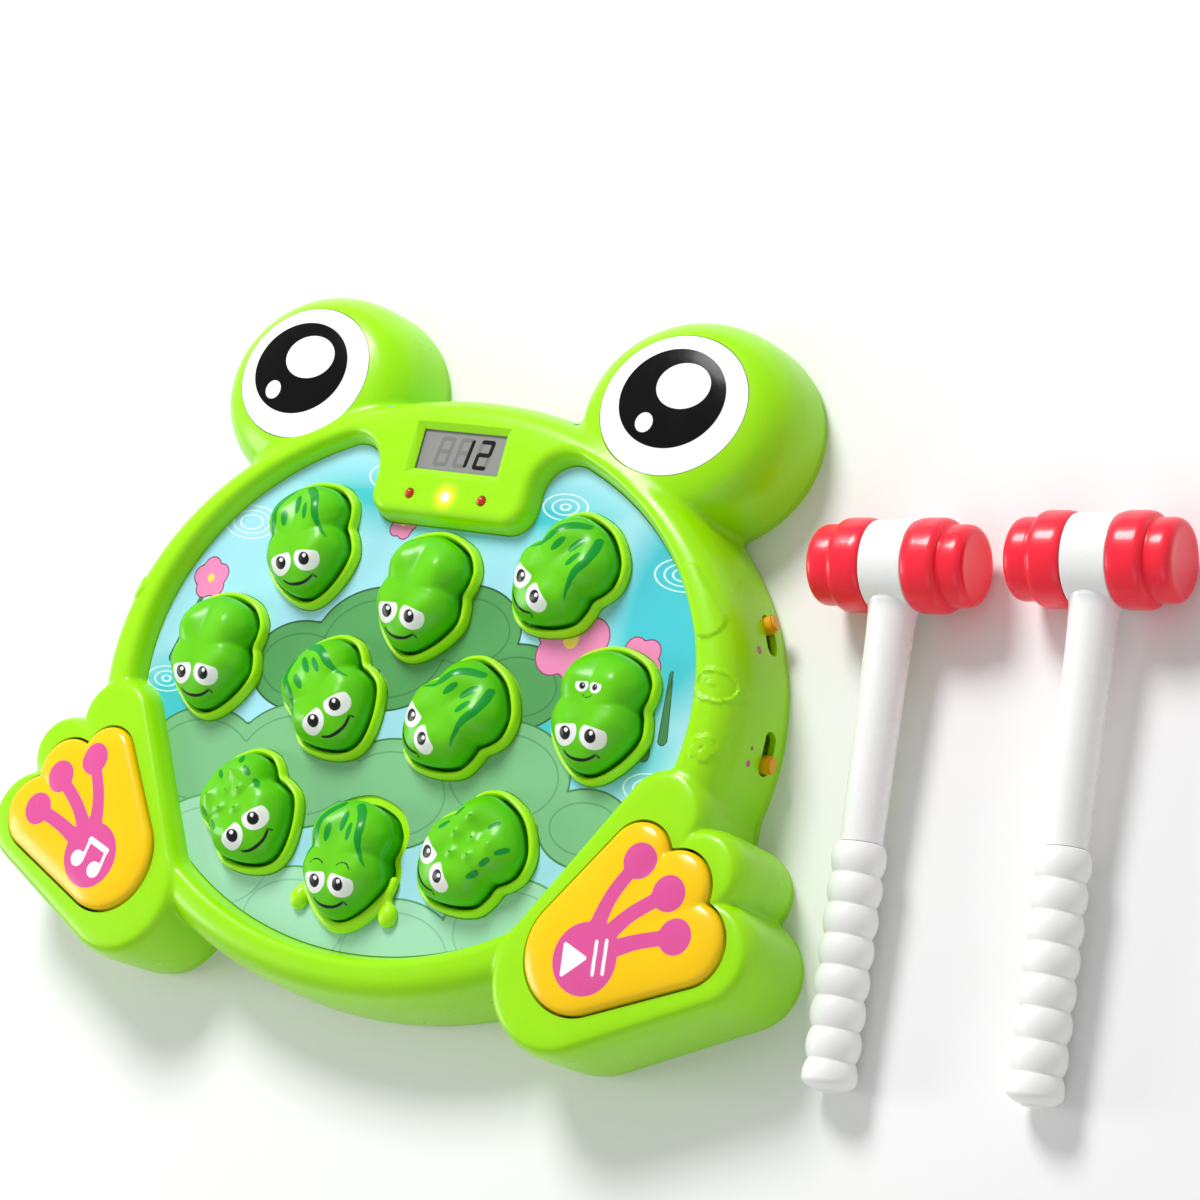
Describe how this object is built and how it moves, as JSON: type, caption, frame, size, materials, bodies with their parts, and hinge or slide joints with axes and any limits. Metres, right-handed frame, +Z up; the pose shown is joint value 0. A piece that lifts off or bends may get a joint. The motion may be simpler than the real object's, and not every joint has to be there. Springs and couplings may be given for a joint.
{
  "type": "frog pounding game",
  "caption": "Frog-shaped tabletop pounding game with sprung frog heads in a pond, score display, paw buttons, slide switches and toy hammers.",
  "frame": {"origin": "centre of the round body's underside, on the surface it rests on", "axes": "+Z up out of the play face; +Y from the player towards the frog's two eyes; +X to the player's right, where the hammers lie"},
  "size_m": [0.4179, 0.249, 0.0428],
  "materials": {
    "lime_plastic": "glossy moulded plastic",
    "light_lime_plastic": "glossy moulded plastic",
    "frog_plastic": "glossy soft moulded plastic with darker painted marks",
    "eye_plastic": "glossy white plastic with a printed pupil",
    "printed_sheet": null,
    "paw_plastic": "glossy moulded plastic with a printed paw figure",
    "knob_plastic": "glossy moulded plastic",
    "board": "printed circuit board with solder mask",
    "black_plastic": "black moulded plastic",
    "display_glass": "grey liquid crystal glass",
    "red_led": "clear red epoxy",
    "warm_led": "clear epoxy, lit",
    "cell_jacket": "plain printed steel jacket",
    "steel": "zinc-plated steel",
    "hammer_red_plastic": "glossy soft moulded plastic",
    "hammer_white_plastic": "white moulded plastic"
  },
  "bodies": {
    "console": {"front_shell": "lime_plastic", "back_cover": "lime_plastic", "play_deck": "light_lime_plastic", "pond_sheet": "printed_sheet", "left_eye": "eye_plastic", "right_eye": "eye_plastic", "frog_spring_1": "steel", "frog_spring_2": "steel", "frog_spring_3": "steel", "frog_spring_4": "steel", "frog_spring_5": "steel", "frog_spring_6": "steel", "frog_spring_7": "steel", "frog_spring_8": "steel", "frog_spring_9": "steel", "frog_spring_10": "steel", "main_board": "board", "display_board": "board", "score_display": "display_glass", "left_led": "red_led", "middle_led": "warm_led", "right_led": "red_led", "speaker": "black_plastic", "battery_1": "cell_jacket", "battery_2": "cell_jacket", "battery_3": "cell_jacket", "battery_contact_negative": "steel", "battery_contact_left_pair": "steel", "battery_contact_right_pair": "steel", "battery_contact_positive": "steel", "power_switch_can": "steel", "volume_switch_can": "steel", "music_button_spring": "steel", "music_button_switch": "board", "play_button_spring": "steel", "play_button_switch": "board"},
    "frog_1": {"frog_1": "frog_plastic"},
    "frog_2": {"frog_2": "frog_plastic"},
    "frog_3": {"frog_3": "frog_plastic"},
    "frog_4": {"frog_4": "frog_plastic"},
    "frog_5": {"frog_5": "frog_plastic"},
    "frog_6": {"frog_6": "frog_plastic"},
    "frog_7": {"frog_7": "frog_plastic"},
    "frog_8": {"frog_8": "frog_plastic"},
    "frog_9": {"frog_9": "frog_plastic"},
    "frog_10": {"frog_10": "frog_plastic"},
    "music_button": {"music_button": "paw_plastic"},
    "play_button": {"play_button": "paw_plastic"},
    "power_knob": {"power_switch_knob": "knob_plastic"},
    "volume_knob": {"volume_switch_knob": "knob_plastic"},
    "battery_door": {"battery_door": "lime_plastic", "battery_door_screw": "steel"},
    "hammer_1": {"hammer_1_handle": "hammer_white_plastic", "hammer_1_grip": "hammer_white_plastic", "hammer_1_left_striker": "hammer_red_plastic", "hammer_1_right_striker": "hammer_red_plastic"},
    "hammer_2": {"hammer_2_handle": "hammer_white_plastic", "hammer_2_grip": "hammer_white_plastic", "hammer_2_left_striker": "hammer_red_plastic", "hammer_2_right_striker": "hammer_red_plastic"}
  },
  "joints": [
    {"name": "frog_1_press", "type": "slide", "parent": "console", "child": "frog_1", "axis": [0, 0, 1], "range_m": [-0.005, 0], "stiffness_N_per_m": 250, "springref_m": 0.004, "deforming": ["frog_spring_1"]},
    {"name": "frog_2_press", "type": "slide", "parent": "console", "child": "frog_2", "axis": [0, 0, 1], "range_m": [-0.005, 0], "stiffness_N_per_m": 250, "springref_m": 0.004, "deforming": ["frog_spring_2"]},
    {"name": "frog_3_press", "type": "slide", "parent": "console", "child": "frog_3", "axis": [0, 0, 1], "range_m": [-0.005, 0], "stiffness_N_per_m": 250, "springref_m": 0.004, "deforming": ["frog_spring_3"]},
    {"name": "frog_4_press", "type": "slide", "parent": "console", "child": "frog_4", "axis": [0, 0, 1], "range_m": [-0.005, 0], "stiffness_N_per_m": 250, "springref_m": 0.004, "deforming": ["frog_spring_4"]},
    {"name": "frog_5_press", "type": "slide", "parent": "console", "child": "frog_5", "axis": [0, 0, 1], "range_m": [-0.005, 0], "stiffness_N_per_m": 250, "springref_m": 0.004, "deforming": ["frog_spring_5"]},
    {"name": "frog_6_press", "type": "slide", "parent": "console", "child": "frog_6", "axis": [0, 0, 1], "range_m": [-0.005, 0], "stiffness_N_per_m": 250, "springref_m": 0.004, "deforming": ["frog_spring_6"]},
    {"name": "frog_7_press", "type": "slide", "parent": "console", "child": "frog_7", "axis": [0, 0, 1], "range_m": [-0.005, 0], "stiffness_N_per_m": 250, "springref_m": 0.004, "deforming": ["frog_spring_7"]},
    {"name": "frog_8_press", "type": "slide", "parent": "console", "child": "frog_8", "axis": [0, 0, 1], "range_m": [-0.005, 0], "stiffness_N_per_m": 250, "springref_m": 0.004, "deforming": ["frog_spring_8"]},
    {"name": "frog_9_press", "type": "slide", "parent": "console", "child": "frog_9", "axis": [0, 0, 1], "range_m": [-0.005, 0], "stiffness_N_per_m": 250, "springref_m": 0.004, "deforming": ["frog_spring_9"]},
    {"name": "frog_10_press", "type": "slide", "parent": "console", "child": "frog_10", "axis": [0, 0, 1], "range_m": [-0.005, 0], "stiffness_N_per_m": 250, "springref_m": 0.004, "deforming": ["frog_spring_10"]},
    {"name": "music_button_press", "type": "slide", "parent": "console", "child": "music_button", "axis": [0, 0, 1], "range_m": [-0.0025, 0], "stiffness_N_per_m": 400, "springref_m": 0.003, "deforming": ["music_button_spring"]},
    {"name": "play_button_press", "type": "slide", "parent": "console", "child": "play_button", "axis": [0, 0, 1], "range_m": [-0.0025, 0], "stiffness_N_per_m": 400, "springref_m": 0.003, "deforming": ["play_button_spring"]},
    {"name": "power_knob_slide", "type": "slide", "parent": "console", "child": "power_knob", "axis": [-0.4575, 0.8892, 0], "range_m": [-0.007, 0]},
    {"name": "volume_knob_slide", "type": "slide", "parent": "console", "child": "volume_knob", "axis": [-0.0261, 0.9997, 0], "range_m": [0, 0.007]},
    {"name": "battery_door_lift", "type": "slide", "parent": "console", "child": "battery_door", "axis": [0, 0, -1], "range_m": [0, 0.02]},
    {"name": "hammer_1_lift", "type": "slide", "parent": "console", "child": "hammer_1", "axis": [0, 0, 1], "range_m": [0, 0.15]},
    {"name": "hammer_2_lift", "type": "slide", "parent": "console", "child": "hammer_2", "axis": [0, 0, 1], "range_m": [0, 0.15]}
  ]
}
